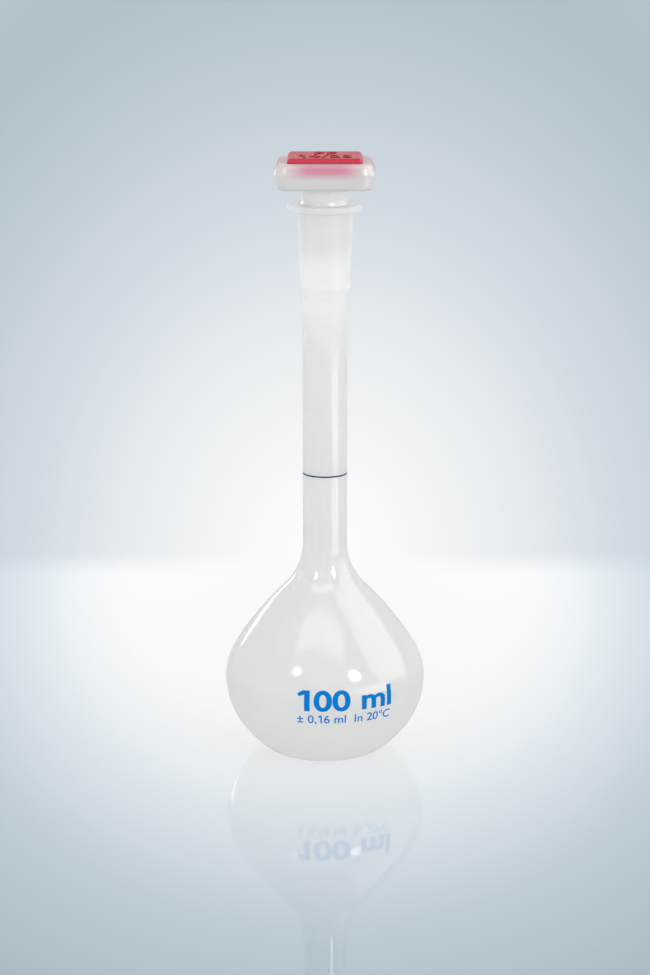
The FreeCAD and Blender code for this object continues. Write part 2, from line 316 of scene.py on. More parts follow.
def flag_figure_one(mesh: BMesh) -> None:
    """Give the first upright bar of flat letters, a plain figure one, the usual flag.

    Args:
        mesh: the flat letters.
    """
    islands: list[set[BMVert]] = []
    for seed in mesh.verts:
        if any(seed in island for island in islands):
            continue
        island, waiting = {seed}, [seed]
        while waiting:
            for edge in waiting.pop().link_edges:
                for v in edge.verts:
                    if v not in island:
                        island.add(v)
                        waiting.append(v)
        islands.append(island)
    bars = []
    for island in islands:
        across = [v.co.x for v in island]
        up = [v.co.y for v in island]
        if max(up) - min(up) > 2.5 * (max(across) - min(across)) and max(up) - min(up) > 0.4:
            bars.append((min(across), max(across), min(up), max(up), island))
    left, right, low, high, island = min(bars, key=lambda bar: bar[0])
    tall = high - low
    shift = 0.1 * tall
    bmesh.ops.delete(mesh, geom=list(island), context="VERTS")
    outline = [
        (left + shift, low),
        (right + shift, low),
        (right + shift, high),
        (left + 0.35 * shift, high),
        (left - 1.6 * shift, high - 0.16 * tall),
        (left - 1.1 * shift, high - 0.30 * tall),
        (left + shift, high - 0.20 * tall),
    ]
    mesh.faces.new([mesh.verts.new((x, y, 0)) for x, y in outline])


def fit_letters(mesh: BMesh, width: float, height: float) -> None:
    """Scale flat letters so that they start at the left, stand on the line and fill a width.

    Args:
        mesh: the flat letters.
        width: wanted width.
        height: wanted height of the tallest letter above the line.
    """
    left = min(v.co.x for v in mesh.verts)
    right = max(v.co.x for v in mesh.verts)
    top = max(v.co.y for v in mesh.verts)
    for v in mesh.verts:
        v.co = Vector(((v.co.x - left) * width / (right - left), v.co.y * height / top, 0))


def slice_mesh(mesh: BMesh, step: float) -> None:
    """Cut flat letters along a grid, so that they can bend.

    Args:
        mesh: the flat letters.
        step: distance between the cuts.
    """
    for axis, direction in ((0, Vector((1, 0, 0))), (1, Vector((0, 1, 0)))):
        low = min(v.co[axis] for v in mesh.verts)
        high = max(v.co[axis] for v in mesh.verts)
        for i in range(1, math.ceil((high - low) / step)):
            geometry = [*mesh.verts, *mesh.edges, *mesh.faces]
            place = direction * (low + i * step)
            bmesh.ops.bisect_plane(mesh, geom=geometry, plane_co=place, plane_no=direction, dist=1e-6)


def thicken(mesh: BMesh, depth: float) -> None:
    """Give flat letters a thickness, so that they are closed.

    Args:
        mesh: the flat letters.
        depth: the thickness, upwards.
    """
    made = bmesh.ops.extrude_face_region(mesh, geom=list(mesh.faces))
    for item in made["geom"]:
        if isinstance(item, BMVert):
            item.co.z += depth
    bmesh.ops.recalc_face_normals(mesh, faces=mesh.faces)


class Recipe:
    """The node tree of a material or of the world, built step by step."""

    def __init__(self, owner: Material | World) -> None:
        """Start an empty tree.

        Args:
            owner: the material or the world that the tree belongs to.
        """
        owner.use_nodes = True
        self.owner = owner
        self.tree = owner.node_tree
        self.tree.nodes.clear()

    def node(self, kind: str, **settings: object) -> Node:
        """Add a node.

        Args:
            kind: the node's type without its ShaderNode prefix.
            settings: properties of the node.

        Returns:
            The new node.
        """
        made = self.tree.nodes.new(f"ShaderNode{kind}")
        for key, value in settings.items():
            setattr(made, key, value)
        return made

    def link(self, source: NodeSocket, target: NodeSocket) -> None:
        """Join two sockets."""
        self.tree.links.new(source, target)

    def give(self, target: NodeSocket, value: Value) -> None:
        """Join an input to a socket, or set it to a fixed value.

        Args:
            target: the input.
            value: the socket or the fixed value.
        """
        if isinstance(value, NodeSocket):
            self.link(value, target)
        else:
            target.default_value = value

    def feed(self, made: Node, *values: Value) -> Node:
        """Give the inputs of a node their values.

        Args:
            made: the node.
            values: sockets or fixed values, in the order of the inputs.

        Returns:
            The same node.
        """
        for target, value in zip(made.inputs, values):
            self.give(target, value)
        return made

    def add(self, kind: str, inputs: dict[str, Value]) -> Node:
        """Add a node and give its named inputs their values.

        Args:
            kind: the node's type without its ShaderNode prefix.
            inputs: names of inputs, with sockets or fixed values for them.

        Returns:
            The new node.
        """
        made = self.node(kind)
        for name, value in inputs.items():
            self.give(made.inputs[name], value)
        return made

    def clouded(self, level: NodeSocket, first: Colour, second: Colour) -> NodeSocket:
        """Turn the middle of a level into a change between two colours."""
        return self.tones(level, list(zip(NOISE_MIDDLE, (first, second))))

    def math(self, operation: str, *values: Value) -> NodeSocket:
        """Work out a number from other numbers."""
        return self.feed(self.node("Math", operation=operation), *values).outputs[0]

    def vector(self, operation: str, *values: Value) -> NodeSocket:
        """Work out a vector, or its length, from other vectors."""
        made = self.feed(self.node("VectorMath", operation=operation), *values)
        return made.outputs["Value" if operation == "LENGTH" else "Vector"]

    def coordinates(self, kind: str = "Object") -> NodeSocket:
        """Give the place on the object, or the direction in the world."""
        return self.node("TexCoord").outputs[kind]

    def parts(self, vector: NodeSocket) -> NodeOutputs:
        """Take a vector apart into its X, Y and Z."""
        return self.feed(self.node("SeparateXYZ"), vector).outputs

    def noise(self, scale: float, detail: float = 3.0) -> NodeSocket:
        """Add a noise fixed to the object and give its level.

        Args:
            scale: cells per metre.
            detail: finer layers on top of the first.

        Returns:
            The socket that carries the level, from 0 to 1.
        """
        inputs = {"Vector": self.coordinates(), "Scale": scale, "Detail": detail}
        return self.add("TexNoise", inputs).outputs["Fac"]

    def spread(
        self, level: NodeSocket, given: Point, wanted: Point, smooth: bool = False
    ) -> NodeSocket:
        """Turn a level in one range into a value in another.

        Args:
            level: the level.
            given: ends of the level's range, in rising order.
            wanted: the values at those ends.
            smooth: whether the value starts and stops gently.

        Returns:
            The socket that carries the value.
        """
        made = self.node("MapRange", interpolation_type="SMOOTHSTEP" if smooth else "LINEAR")
        return self.feed(made, level, *given, *wanted).outputs["Result"]

    def between(self, level: NodeSocket, low: float, high: float) -> NodeSocket:
        """Spread the middle of a level between two values."""
        return self.spread(level, NOISE_MIDDLE, (low, high))

    def fade(self, level: NodeSocket, none: float, full: float) -> NodeSocket:
        """Turn a level into a share that grows gently from nothing to one."""
        ends = (0.0, 1.0) if none < full else (1.0, 0.0)
        return self.spread(level, (min(none, full), max(none, full)), ends, smooth=True)

    def tones(self, level: NodeSocket, stops: Sequence[Stop]) -> NodeSocket:
        """Turn a level into a colour.

        Args:
            level: the level, from 0 to 1.
            stops: levels and their colours, in order.

        Returns:
            The socket that carries the colour.
        """
        ramp = self.node("ValToRGB")
        ramp.color_ramp.interpolation = "B_SPLINE" if len(stops) > 3 else "LINEAR"
        points = ramp.color_ramp.elements
        while len(points) < len(stops):
            points.new(1.0)
        for point, (where, colour) in zip(points, stops):
            point.position = where
            point.color = (*colour, 1.0)
        self.link(level, ramp.inputs["Fac"])
        return ramp.outputs["Color"]

    def bump(self, level: NodeSocket, depth: float) -> NodeSocket:
        """Turn a level into a relief of the surface.

        Args:
            level: the level.
            depth: depth of the relief in metres.

        Returns:
            The socket that carries the normal.
        """
        inputs = {"Strength": 1.0, "Distance": depth, "Height": level}
        return self.add("Bump", inputs).outputs["Normal"]

    def shown(self) -> NodeSocket:
        """Mark the rays that show a surface: seen straight, mirrored or through clear plastic.

        Returns:
            The socket that is 1 for those rays and 0 for soft light.
        """
        rays = self.node("LightPath").outputs
        seen = self.math("MAXIMUM", rays["Is Camera Ray"], rays["Is Glossy Ray"])
        return self.math("MAXIMUM", seen, rays["Is Transmission Ray"])

    def blend(self, share: Value, first: Node, second: Node) -> Node:
        """Mix two surfaces, with a share of the second."""
        return self.feed(self.node("MixShader"), share, first.outputs[0], second.outputs[0])

    def close(self, surface: Node) -> None:
        """Send a surface to the output.

        Args:
            surface: the finished surface.
        """
        in_world = isinstance(self.owner, World)
        out = self.node("OutputWorld" if in_world else "OutputMaterial")
        self.link(surface.outputs[0], out.inputs["Surface"])


@dataclass(frozen=True)
class PaintedLightBand:
    """A band of painted light or shade on a square piece: a painted glow of what lies inside, or painted
    shade.

    In millimetres: the band's foot and top, the distances from the middle of a side at which the
    tint ends and is full, and the softness of the foot and the top.
    """

    colour: Colour
    foot: float
    top: float
    end: float
    full: float
    soft: float

    def mix(self, recipe: Recipe, tone: NodeSocket) -> NodeSocket:
        """Mix the painted light or shade into a colour.

        Args:
            recipe: the material that is being built.
            tone: the colour without the painted light or shade.

        Returns:
            The socket that carries the colour with the painted light or shade.
        """
        parts = recipe.parts(recipe.vector("ABSOLUTE", recipe.coordinates()))
        aside = recipe.math("MINIMUM", parts["X"], parts["Y"])
        level = recipe.fade(aside, self.end * MM, self.full * MM)
        for none, full in ((self.foot, self.foot + self.soft), (self.top, self.top - self.soft)):
            share = recipe.fade(parts["Z"], none * MM, full * MM)
            level = recipe.math("MULTIPLY", level, share)
        mixed = recipe.node("Mix", data_type="RGBA")
        recipe.link(level, mixed.inputs["Factor"])
        recipe.link(tone, mixed.inputs["A"])
        mixed.inputs["B"].default_value = (*self.colour, 1.0)
        return mixed.outputs["Result"]


@dataclass(frozen=True)
class Rise:
    """A value that changes gently between two heights in millimetres."""

    foot: float
    top: float
    below: float
    above: float

    def level(self, recipe: Recipe) -> NodeSocket:
        """Give the value at every height of the object."""
        height = recipe.parts(recipe.coordinates())["Z"]
        return recipe.spread(height, (self.foot * MM, self.top * MM), (self.below, self.above), smooth=True)


@dataclass(frozen=True)
class Wall:
    """How a clear wall changes with the height: light it bends, dullness, light it lets straight on."""

    clearness: Rise
    dullness: Rise
    straight: Rise


@dataclass(frozen=True)
class Plastic:
    """A moulded plastic, from clear to solid, with faint clouds and a faintly uneven surface."""

    name: str
    colour: Colour
    cloud_colour: Colour
    roughness: Point
    clearness: float = 0.0
    refraction: float = 1.49
    cloud_scale: float = 60.0
    ripple_scale: float = 90.0
    ripple_depth: float = 0.000005
    sheen: float = 0.5
    milkiness: float = 0.0
    # Bands of painted light and shade, mixed into the colour.
    painted_light: tuple[PaintedLightBand, ...] = ()
    wall: Wall | None = None

    def material(self) -> Material:
        """Build the material.

        Returns:
            The finished material.
        """
        material = bpy.data.materials.new(self.name)
        recipe = Recipe(material)
        clouds = recipe.noise(self.cloud_scale)
        tone = recipe.clouded(clouds, self.cloud_colour, self.colour)
        # Mix in the bands of painted light and shade.
        for painted_band in self.painted_light:
            tone = painted_band.mix(recipe, tone)
        dullness = recipe.between(clouds, *self.roughness)
        relief = recipe.bump(recipe.noise(self.ripple_scale, 1.0), self.ripple_depth)
        clearness: Value = self.clearness
        if self.wall:
            clearness = self.wall.clearness.level(recipe)
            dullness = recipe.math("MAXIMUM", dullness, self.wall.dullness.level(recipe))
        surface = recipe.add(
            "BsdfPrincipled",
            {
                "Base Color": tone,
                "Roughness": dullness,
                "Normal": relief,
                "IOR": self.refraction,
                "Transmission Weight": clearness,
                "Specular IOR Level": self.sheen,
            },
        )
        if self.milkiness:
            scatter = recipe.feed(recipe.node("BsdfTranslucent"), tone, relief)
            surface = recipe.blend(self.milkiness, surface, scatter)
        if self.wall:
            passing = recipe.node("BsdfTransparent")
            surface = recipe.blend(self.wall.straight.level(recipe), surface, passing)
        recipe.close(surface)
        return material


@dataclass(frozen=True)
class Ink:
    """A printed ink, slightly uneven in cover and gloss."""

    name: str
    colour: Colour
    thin_colour: Colour
    roughness: Point = (0.42, 0.55)
    sheen: float = 0.02
    grain_scale: float = 900.0
    grain_detail: float = 4.0
    grain_depth: float = 0.000004

    def material(self) -> Material:
        """Build the material.

        Returns:
            The finished material.
        """
        material = bpy.data.materials.new(self.name)
        recipe = Recipe(material)
        cover = recipe.noise(self.grain_scale, self.grain_detail)
        surface = recipe.add(
            "BsdfPrincipled",
            {
                "Base Color": recipe.clouded(cover, self.thin_colour, self.colour),
                "Roughness": recipe.between(cover, *self.roughness),
                "Normal": recipe.bump(cover, self.grain_depth),
                "Specular IOR Level": self.sheen,
            },
        )
        recipe.close(surface)
        return material


@dataclass(frozen=True)
class FloorFinish:
    """A pale glossy light table that darkens to the front and the sides and fades at its far edge.

    Its tone follows the distance from the middle of the far edge, in metres; the darkening to the front and
    the sides is painted fall-off of the light.
    """

    name: str = "pale_tabletop"
    far_edge: float = 0.215
    fade: float = 0.022
    squeeze: float = 2.65
    light_through: float = 0.76
    light_around: float = 1.0
    roughness: Point = (0.02, 0.035)
    grain_scale: float = 35.0
    # Painted light fall-off: the tone, given to both the surface and its glow, is bright near the flask,
    # darker to the front and sides, rising again out of view.
    tones: tuple[Stop, ...] = (
        (0.0, from_screen(226, 226, 227)),
        (0.065, from_screen(226, 227, 228)),
        (0.20, from_screen(230, 231, 232)),
        (0.25, from_screen(217, 222, 226)),
        (0.30, from_screen(197, 207, 213)),
        (0.36, from_screen(168, 184, 194)),
        (0.46, from_screen(140, 160, 171)),
        (0.53, from_screen(138, 157, 168)),
        (0.66, from_screen(210, 217, 222)),
        (0.78, from_screen(234, 236, 238)),
        (1.0, from_screen(243, 244, 245)),
    )

    def material(self) -> Material:
        """Build the material.

        Returns:
            The finished material.
        """
        material = bpy.data.materials.new(self.name)
        recipe = Recipe(material)
        place = recipe.coordinates()
        apart = recipe.vector("SUBTRACT", place, (0.0, self.far_edge, 0.0))
        away = recipe.vector("LENGTH", recipe.vector("MULTIPLY", apart, (self.squeeze, 1.0, 0.0)))
        tone = recipe.tones(away, self.tones)
        left_over = 1.0 - self.light_through
        depth = recipe.parts(place)["Y"]
        strengths = (self.light_around, self.light_through)
        surface = recipe.add(
            "BsdfPrincipled",
            {
                "Base Color": recipe.vector("MULTIPLY", tone, (left_over, left_over, left_over)),
                "Emission Color": tone,
                "Emission Strength": recipe.spread(recipe.shown(), (0.0, 1.0), strengths),
                "Roughness": recipe.between(recipe.noise(self.grain_scale), *self.roughness),
                "Alpha": recipe.fade(depth, self.far_edge + self.fade, self.far_edge - self.fade),
            },
        )
        recipe.close(surface)
        return material


@dataclass(frozen=True)
class FlaskShape:
    """The outline of the flask in millimetres: tangent arcs from the base to the neck, then the socket."""

    wall: float = 1.0
    hollow_radius: float = 12.6
    hollow_rise: float = 1.6
    ring_radius: float = 16.0
    corner: float = 4.4
    lower: float = 36.2
    belly: float = 24.4
    bulb_radius: float = 30.7
    belly_height: float = 22.8
    upper: float = 18.4
    shoulder: float = 104.0
    flare: float = 19.5
    neck_radius: float = 6.75
    neck_start: float = 65.4
    mark_height: float = 87.0
    mark_width: float = 0.45
    mark_depth: float = 0.25
    socket_foot: float = 142.5
    socket_top_radius: float = 8.5
    collar_radius: float = 11.2
    collar_underside: float = 166.9
    collar_top: float = 169.1
    collar_round: float = 0.7
    mouth_radius: float = 7.25
    mouth_chamfer: float = 0.4
    socket_depth: float = 23.0
    taper_run: float = 20.0
    groove_round: float = 0.05
    foot_round: float = 1.0
    foot_width: float = 0.75
    foot_rise: float = 1.8
    under_collar_round: float = 0.7
    lip_round: float = 0.25
    lip_depth: float = 2.0
    taper_start: float = 4.0
    bore_step: float = 1.0
    bore_round: float = 0.5
    base_join: float = 0.6
    step: float = 0.9
    edge_steps: int = 8

    def socket_radius(self, height: float) -> float:
        """Give the radius of the conical socket at a height."""
        return self.mouth_radius - (self.collar_top - height) / self.taper_run

    def base(self, inset: float) -> list[Point]:
        """Give the domed underside from the axis to its rim.

        Args:
            inset: depth inside the outer surface.

        Returns:
            Radius and height of each point.
        """
        sphere = (self.hollow_radius**2 + self.hollow_rise**2) / (2 * self.hollow_rise)
        centre = (0.0, self.hollow_rise - sphere)
        half = math.asin(self.hollow_radius / sphere)
        return arc_points(centre, sphere + inset, math.pi / 2, math.pi / 2 - half, self.step)

    def bulb(self, inset: float) -> list[Point]:
        """Give the bulb from the standing ring to the start of the neck.

        Args:
            inset: depth inside the outer surface.

        Returns:
            Radius and height of each point.
        """
        corner_centre = (self.ring_radius, self.corner)
        belly_centre = (self.bulb_radius - self.belly, self.belly_height)
        lower_centre = circles_meet(
            corner_centre, self.lower - self.corner, belly_centre, self.lower - self.belly
        )
        upper_centre = (self.bulb_radius - self.upper, self.belly_height)
        flare_centre = (self.neck_radius + self.flare, self.neck_start)
        shoulder_centre = circles_meet(
            upper_centre, self.shoulder - self.upper, flare_centre, self.shoulder + self.flare
        )
        leave_corner = angle_to(lower_centre, corner_centre)
        leave_lower = angle_to(lower_centre, belly_centre)
        leave_upper = angle_to(shoulder_centre, upper_centre)
        leave_shoulder = angle_to(shoulder_centre, flare_centre)
        arcs = [
            (corner_centre, self.corner - inset, -math.pi / 2, leave_corner),
            (lower_centre, self.lower - inset, leave_corner, leave_lower),
            (belly_centre, self.belly - inset, leave_lower, 0.0),
            (upper_centre, self.upper - inset, 0.0, leave_upper),
            (shoulder_centre, self.shoulder - inset, leave_upper, leave_shoulder),
            (flare_centre, self.flare + inset, math.pi + leave_shoulder, math.pi),
        ]
        points: list[Point] = []
        for arc in arcs:
            points += arc_points(*arc, self.step)[1 if points else 0 :]
        return points

    def neck_and_socket(self) -> list[Point]:
        """Give the outside above the bulb: mark groove, neck, socket and collar, up to the mouth.

        Returns:
            Radius and height of each point.
        """
        low = self.mark_height - self.mark_width / 2
        high = self.mark_height + self.mark_width / 2
        floor = self.neck_radius - self.mark_depth
        lip = self.mouth_radius + self.mouth_chamfer
        inside = self.collar_top - self.lip_depth
        return rounded(
            [
                (self.neck_radius, self.neck_start, 0.0),
                (self.neck_radius, low, self.groove_round),
                (floor, low, 0.0),
                (floor, high, 0.0),
                (self.neck_radius, high, self.groove_round),
                (self.neck_radius, self.socket_foot, self.foot_round),
                (self.neck_radius + self.foot_width, self.socket_foot + self.foot_rise, self.foot_round),
                (self.socket_top_radius, self.collar_underside, self.under_collar_round),
                (self.collar_radius, self.collar_underside, self.collar_round),
                (self.collar_radius, self.collar_top, self.collar_round),
                (lip, self.collar_top, self.lip_round),
                (self.mouth_radius, self.collar_top - self.mouth_chamfer, self.lip_round),
                (self.socket_radius(inside), inside, 0.0),
            ],
            self.edge_steps,
        )

    def socket_inside(self) -> list[Point]:
        """Give the inside of the socket and the neck, from the mouth down to the bulb.

        Returns:
            Radius and height of each point.
        """
        start = self.collar_top - self.taper_start
        foot = self.collar_top - self.socket_depth
        bore = self.neck_radius - self.wall
        return rounded(
            [
                (self.socket_radius(start), start, 0.0),
                (self.socket_radius(foot), foot, self.bore_round),
                (bore, foot - self.bore_step, self.bore_round),
                (bore, self.neck_start, 0.0),
            ]
        )

    def section(self) -> list[Point]:
        """Give the whole section of the wall, from the axis under the base to the axis inside it.

        Returns:
            Radius and height of each point.
        """
        outer_base = self.base(0.0)
        inner_base = [p for p in self.base(self.wall) if p[0] < self.hollow_radius - self.base_join]
        outside = [*outer_base, *self.bulb(0.0), *self.neck_and_socket()[1:]]
        inside = [*self.socket_inside(), *self.bulb(self.wall)[::-1][1:], *inner_base[::-1]]
        return outside + inside

    def outer_path(self) -> list[Point]:
        """Give the outer surface of the bulb and the lower neck."""
        return [*self.bulb(0.0), (self.neck_radius, self.mark_height)]


class SurfaceMap:
    """Places flat artwork on the outer surface of the bulb."""

    def __init__(self, path: list[Point], latitude: float) -> None:
        """Measure the outline along its length.

        Args:
            path: radius and height of the surface, from the base upwards.
            latitude: height at which the artwork's line runs.
        """
        self.path = path
        self.lengths = [0.0]
        for low, high in zip(path, path[1:]):
            self.lengths.append(self.lengths[-1] + math.dist(low, high))
        above = next(i for i, point in enumerate(path) if point[1] > latitude)
        share = (latitude - path[above - 1][1]) / (path[above][1] - path[above - 1][1])
        self.start = self.lengths[above - 1] + share * math.dist(path[above - 1], path[above])
        self.line_radius = path[above - 1][0] + share * (path[above][0] - path[above - 1][0])

    def place(self, angle: float, rise: float, proud: float) -> Vector:
        """Give the place of one point of the artwork.

        Args:
            angle: angle round the axis from the front, towards +X, in radians.
            rise: distance above the line, along the surface.
            proud: height above the surface.

        Returns:
            The place, in millimetres.
        """
        length = self.start + rise
        above = next(i for i, reach in enumerate(self.lengths) if reach > length)
        low, high = self.path[above - 1], self.path[above]
        share = (length - self.lengths[above - 1]) / (self.lengths[above] - self.lengths[above - 1])
        run, climb = high[0] - low[0], high[1] - low[1]
        slope = math.hypot(run, climb)
        radius = low[0] + share * run + proud * climb / slope
        height = low[1] + share * climb - proud * run / slope
        return Vector((radius * math.sin(angle), -radius * math.cos(angle), height))


@dataclass(frozen=True)
class PrintLine:
    """One line of printed figures on the bulb."""

    name: str
    words: str
    latitude: float
    left: float
    right: float
    height: float
    weight: float
    film: float = 0.03
    lift: float = 0.008
    grid: float = 0.8

    def build(self, shape: FlaskShape) -> Object:
        """Wrap the line round the bulb.

        Args:
            shape: the outline of the flask.

        Returns:
            The printed film.
        """
        surface = SurfaceMap(shape.outer_path(), self.latitude)
        start = math.radians(self.left)
        turn = math.radians(self.right) - start
        mesh = letter_mesh(self.words, self.weight)
        fit_letters(mesh, surface.line_radius * turn, self.height)
        slice_mesh(mesh, self.grid)
        thicken(mesh, self.film)
        for v in mesh.verts:
            angle = start + v.co.x / surface.line_radius
            v.co = surface.place(angle, v.co.y, self.lift + v.co.z) * MM
        return finish_mesh(self.name, mesh)


class Assembly:
    """A group of pieces that ride one body."""

    body: ClassVar[Body]

    def add(
        self, piece: Object, finish: Plastic | Ink, slot: Slot, *stands_for: str
    ) -> Object:
        """Dress a piece and join it to the body.

        Args:
            piece: the piece.
            finish: its finish.
            slot: the material slot it belongs to, not used.
            stands_for: CAD nodes that it replaces.

        Returns:
            The same piece.
        """
        known = bpy.data.materials.get(finish.name)
        piece.data.materials.clear()
        piece.data.materials.append(known or finish.material())
        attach(piece, self.body.value)
        if stands_for:
            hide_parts(*stands_for)
        LOG.info("%s: %d faces on %s", piece.name, len(piece.data.polygons), self.body.value)
        return piece


@dataclass
class Flask(Assembly):
    """The vessel with its ring mark and its printed figures."""

    shape: FlaskShape
    turns: int = 192
    ring_clearance: float = 0.01
    ring_proud: float = 0.02
    ring_bevel: float = 0.06
    body: ClassVar[Body] = Body.FLASK
    plastic: Plastic = Plastic(
        name="milky_clear_plastic",
        colour=(0.956, 0.946, 0.936),
        cloud_colour=(0.941, 0.931, 0.921),
        roughness=(0.085, 0.105),
        milkiness=0.40,
        wall=Wall(
            clearness=Rise(141.0, 145.0, 0.36, 0.08),
            dullness=Rise(141.0, 145.0, 0.0, 0.25),
            straight=Rise(124.0, 150.0, 0.03, 0.50),
        ),
    )
    mark_ink: Ink = Ink("dark_blue_ink", from_screen(14, 60, 106), from_screen(28, 76, 126))
    print_ink: Ink = Ink("blue_ink", from_screen(0, 113, 190), from_screen(0, 118, 196))

    def build(self) -> list[Object]:
        """Make the vessel, the ring and the figures.

        Returns:
            The pieces.
        """
        vessel = lathe("flask_wall", self.shape.section(), self.turns)
        pieces = [
            self.add(vessel, self.plastic, Slot.FLASK_PLASTIC, "flask_body"),
            self.add(self.make_ring(), self.mark_ink, Slot.MARK_INK, "capacity_mark"),
        ]
        for line in self.print_lines():
            pieces.append(self.add(line.build(self.shape), self.print_ink, Slot.MARK_INK))
        return pieces

    def make_ring(self) -> Object:
        """Fill the groove of the capacity mark with ink, slightly proud.

        Returns:
            The ring of ink.
        """
        half = self.shape.mark_width / 2 - self.ring_clearance
        low, high = self.shape.mark_height - half, self.shape.mark_height + half
        inner = self.shape.neck_radius - self.shape.mark_depth + self.ring_clearance
        outer = self.shape.neck_radius + self.ring_proud
        shoulder = outer - self.ring_bevel
        section = [(inner, low), (shoulder, low), (outer, low + self.ring_bevel)]
        section += [(outer, high - self.ring_bevel), (shoulder, high), (inner, high)]
        return lathe("capacity_ring", section, self.turns)

    def print_lines(self) -> list[PrintLine]:
        """Give the printed lines: the capacity, and its tolerance and temperature.

        Returns:
            The lines, from the top down.
        """
        return [
            PrintLine("capacity_print", "100 ml", 20.8, -15.8, 40.5, 6.3, 0.026),
            PrintLine("tolerance_print", "± 0,16 ml  In 20°C", 16.7, -16.2, 40.0, 2.8, 0.010),
        ]


@dataclass
class Stopper(Assembly):
    """The hollow stopper, its snap-in cover and the raised figures on the cover."""

    socket: FlaskShape
    body: ClassVar[Body] = Body.STOPPER
    plug_clearance: float = 0.1
    plug_end: float = 154.4
    plug_tip: float = 152.4
    shank_radius: float = 6.85
    shank_foot: float = 170.1
    hollow_radius: float = 4.9
    hollow_end_radius: float = 4.3
    hollow_end: float = 156.2
    head_foot: float = 174.2
    head_rim: float = 178.8
    head_top: float = 182.0
    foot_half: float = 13.9
    rim_half: float = 15.0
    top_half: float = 13.9
    rim_corner: float = 4.4
    least_corner: float = 0.4
    tip_round: float = 0.6
    shank_round: float = 0.8
    under_head_round: float = 0.7
    foot_round: float = 1.4
    rim_round: float = 2.0
    top_round: float = 1.6
    recess_lip: float = 0.25
    recess_round: float = 0.3
    recess_slack: float = 0.4
    recess_half: float = 9.0
    recess_corner: float = 1.5
    recess_depth: float = 5.0
    cover_half: float = 11.2
    cover_corner: float = 1.2
    cover_height: float = 1.5
    cover_edge: float = 1.45
    cover_foot: float = 0.02
    cover_least: float = 0.15
    skirt_wall: float = 1.3
    skirt_depth: float = 4.2
    skirt_gap: float = 0.05
    skirt_round: float = 0.3
    skirt_root: float = 0.1
    figures: str = "PP\n14/23"
    figures_size: Point = (15.6, 6.2)
    figures_weight: float = 0.02
    figures_spacing: float = 1.14
    figures_depth: float = 0.3
    figures_lift: float = 0.25
    figures_shift: float = 0.6
    bend_steps: int = 14
    side_steps: int = 16
    plastic: Plastic = Plastic(
        name="milky_plastic",
        colour=(0.805, 0.787, 0.77),
        cloud_colour=(0.79, 0.772, 0.755),
        clearness=0.04,
        roughness=(0.28, 0.36),
        milkiness=0.08,
        painted_light=(
            # Painted shade: the whole head is darkened, standing in for the shade on its front.
            PaintedLightBand((0.637, 0.62, 0.603), 173.6, 190.0, 40.0, 30.0, 0.8),
            # Painted glow: pink round the upper head, standing in for red light from the cover's skirt
            # scattered through the milky wall.
            PaintedLightBand(from_screen(196, 126, 146), 177.2, 183.6, 14.2, 4.0, 2.8),
        ),
    )
    cover_plastic: Plastic = Plastic(
        name="red_plastic",
        colour=from_screen(184, 42, 60),
        cloud_colour=from_screen(178, 38, 56),
        roughness=(0.34, 0.44),
        sheen=0.22,
    )
    # Painted shade: the raised figures are the cover's red plastic made darker, standing in for the shade
    # along their edges.
    shaded_figure_plastic: Plastic = Plastic(
        name="red_plastic_with_painted_shade",
        colour=from_screen(166, 0, 14),
        cloud_colour=from_screen(158, 0, 12),
        roughness=(0.40, 0.50),
        sheen=0.1,
    )

    def square(self, half: float, corner: float, height: float) -> Ring:
        """Place a rounded square of this stopper's facet counts."""
        return square_ring(half, corner, height, self.bend_steps, self.side_steps)

    def build(self) -> list[Object]:
        """Make the stopper, the cover and its figures.

        Returns:
            The pieces.
        """
        return [
            self.add(self.make_plug_and_head(), self.plastic, Slot.STOPPER_PLASTIC, "stopper_body"),
            self.add(self.make_cover(), self.cover_plastic, Slot.COVER_PLASTIC, "stopper_cover"),
            self.add(self.make_figures(), self.shaded_figure_plastic, Slot.COVER_PLASTIC),
        ]

    def corner_at(self, half: float) -> float:
        """Give the corner radius of the head where it is so wide, as its faces slope inwards."""
        return max(self.least_corner, self.rim_corner - (self.rim_half - half))

    def make_plug_and_head(self) -> Object:
        """Skin the stopper from the tip of the plug, over the head, and down into its hollow.

        Returns:
            The closed stopper.
        """
        floor = self.head_top - self.recess_depth
        angles = [math.atan2(v.y, v.x) for v in self.square(self.rim_half, self.rim_corner, 0)]
        plug_end_radius = self.socket.socket_radius(self.plug_end) - self.plug_clearance
        plug_top_radius = self.socket.socket_radius(self.socket.collar_top) - self.plug_clearance
        plug = rounded(
            [
                (0.0, self.plug_tip, 0.0),
                (plug_end_radius, self.plug_end, self.tip_round),
                (plug_top_radius, self.socket.collar_top, self.shank_round),
                (self.shank_radius, self.shank_foot, self.shank_round),
                (self.shank_radius, self.head_foot, self.under_head_round),
                (self.foot_half, self.head_foot, self.foot_round),
                (self.rim_half, self.head_rim, self.rim_round),
                (self.top_half, self.head_top, self.top_round),
                (self.recess_half, self.head_top, self.recess_lip),
                (self.recess_half, floor, self.recess_round),
                (self.hollow_radius, floor, self.recess_round),
                (self.hollow_end_radius, self.hollow_end, self.tip_round),
                (0.0, self.hollow_end, 0.0),
            ]
        )
        rings: list[Ring | Vector] = []
        widest = self.recess_half + self.recess_slack
        in_recess = False
        for radius, height in plug:
            in_recess = in_recess or (height > self.head_rim and radius < widest)
            if radius < 1e-6:
                rings.append(Vector((0, 0, height)))
            elif radius < self.recess_half - self.recess_slack:
                rings.append(round_ring(radius, height, angles))
            elif in_recess:
                rings.append(self.square(radius, self.recess_corner, height))
            else:
                rings.append(self.square(radius, self.corner_at(radius), height))
        return skin("stopper_shell", rings)

